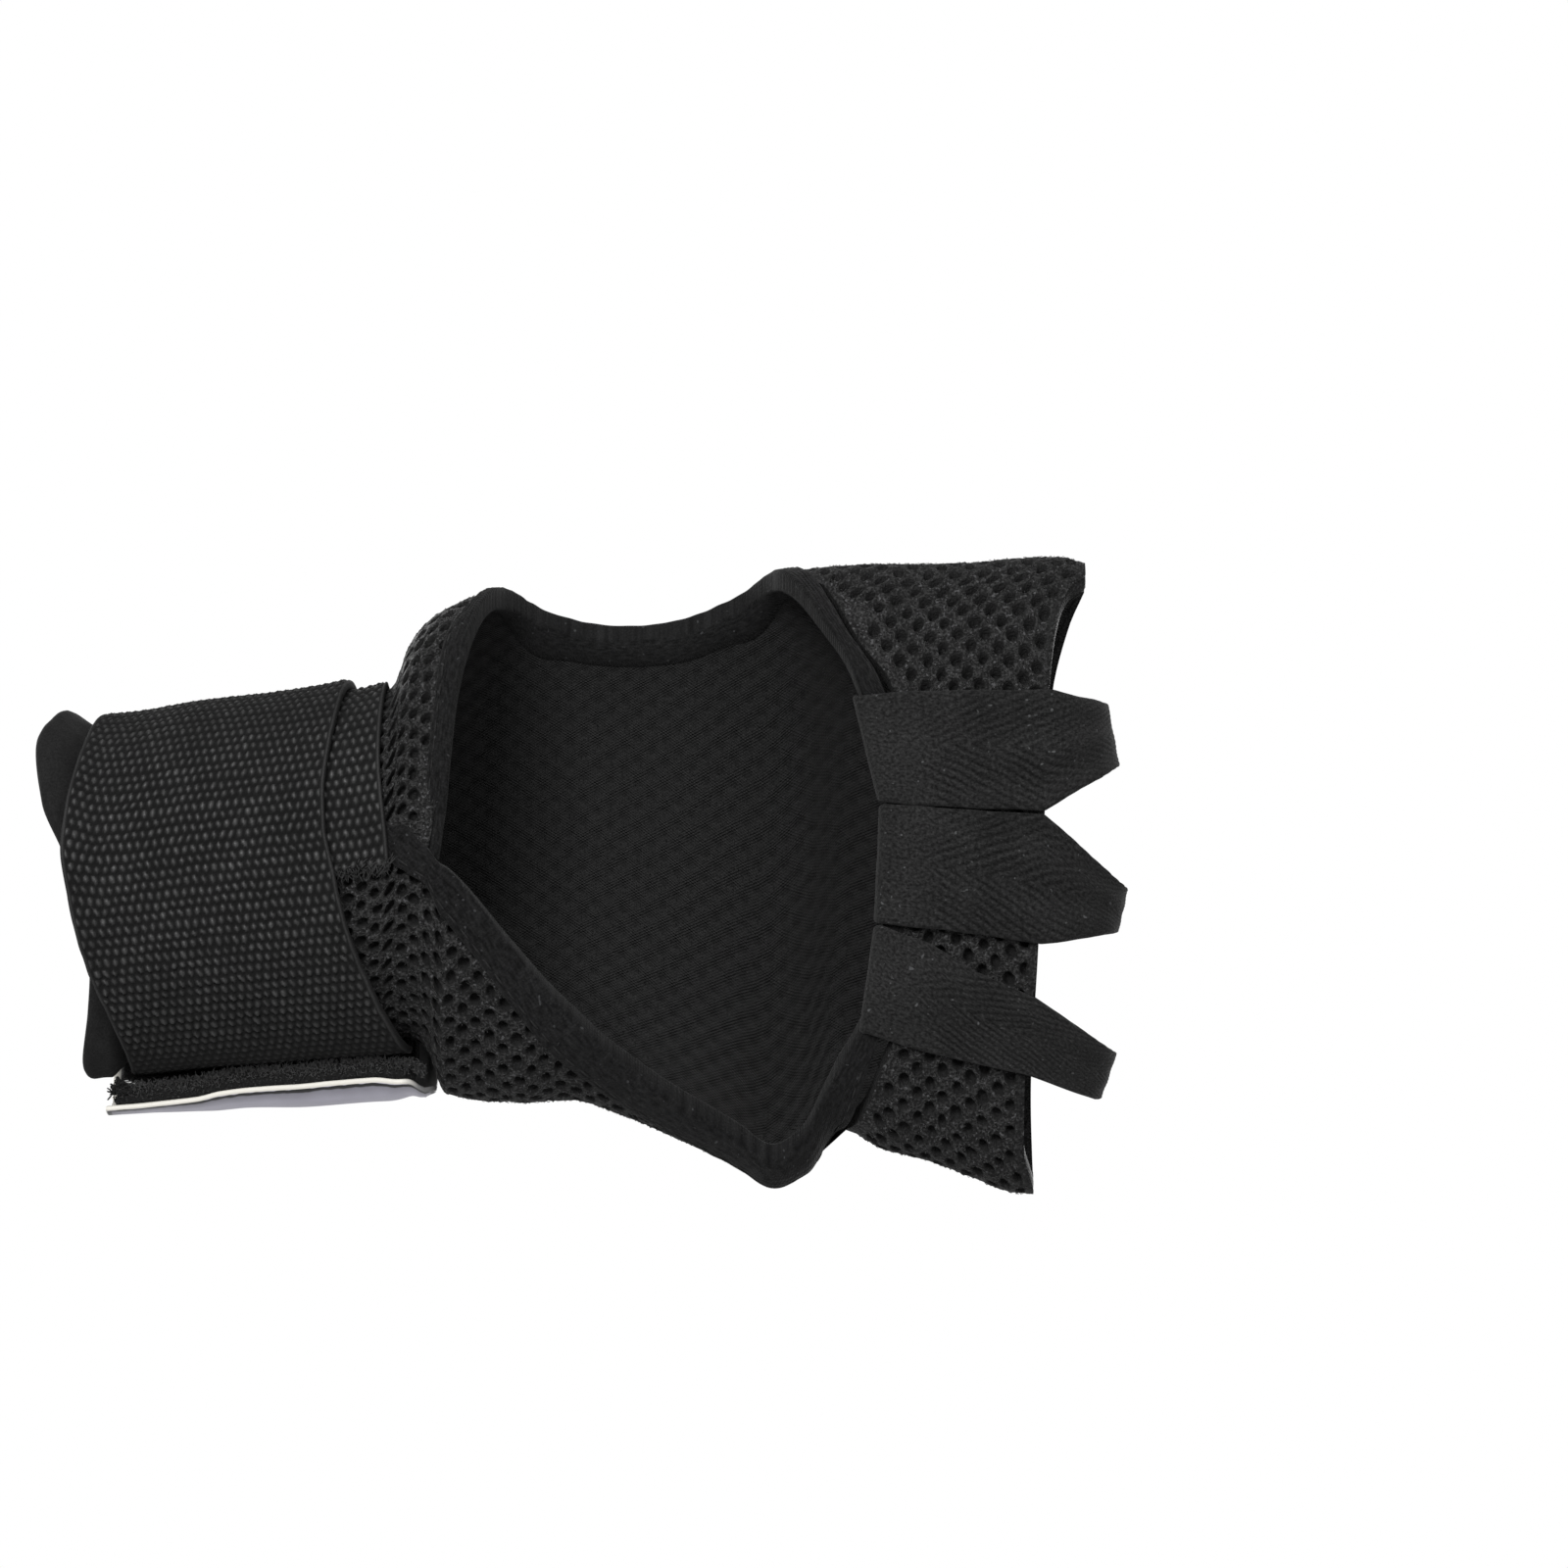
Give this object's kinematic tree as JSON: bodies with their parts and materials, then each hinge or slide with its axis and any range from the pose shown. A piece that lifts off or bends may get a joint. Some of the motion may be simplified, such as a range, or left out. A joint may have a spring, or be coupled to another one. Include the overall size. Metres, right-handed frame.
{
  "type": "fingerless workout glove",
  "caption": "Fingerless workout glove of black spacer mesh with an open bound palm, twill tapes between the fingers, a padded cuff and a wound elastic wrist strap.",
  "frame": {"origin": "the middle of the wrist, where the strap is wound", "axes": "+X towards the fingers, +Z towards the thumb side, -Y out of the palm and +Y out of the back of the hand"},
  "size_m": [0.1663, 0.0477, 0.0972],
  "materials": {
    "spacer_mesh": "matt black knitted spacer mesh with small oval holes",
    "twill_tape": "matt black cotton twill, folded over the edge",
    "herringbone_tape": "matt black cotton herringbone tape",
    "cuff_knit": "soft matt black brushed knit over thin padding",
    "woven_elastic": "black woven elastic with rows of small raised nubs, faint sheen",
    "hook_tape": "black hook-and-loop tape, fuzzy at the edge",
    "moulded_patch": "smooth grey-lavender face with an off-white edge"
  },
  "bodies": {
    "root": {"mesh_shell": "spacer_mesh", "opening_binding": "twill_tape", "index_middle_tape": "herringbone_tape", "middle_ring_tape": "herringbone_tape", "ring_pinky_tape": "herringbone_tape", "wrist_cuff": "cuff_knit", "wrist_strap": "woven_elastic", "closure_tab": "hook_tape", "tab_patch": "moulded_patch"}
  },
  "joints": []
}
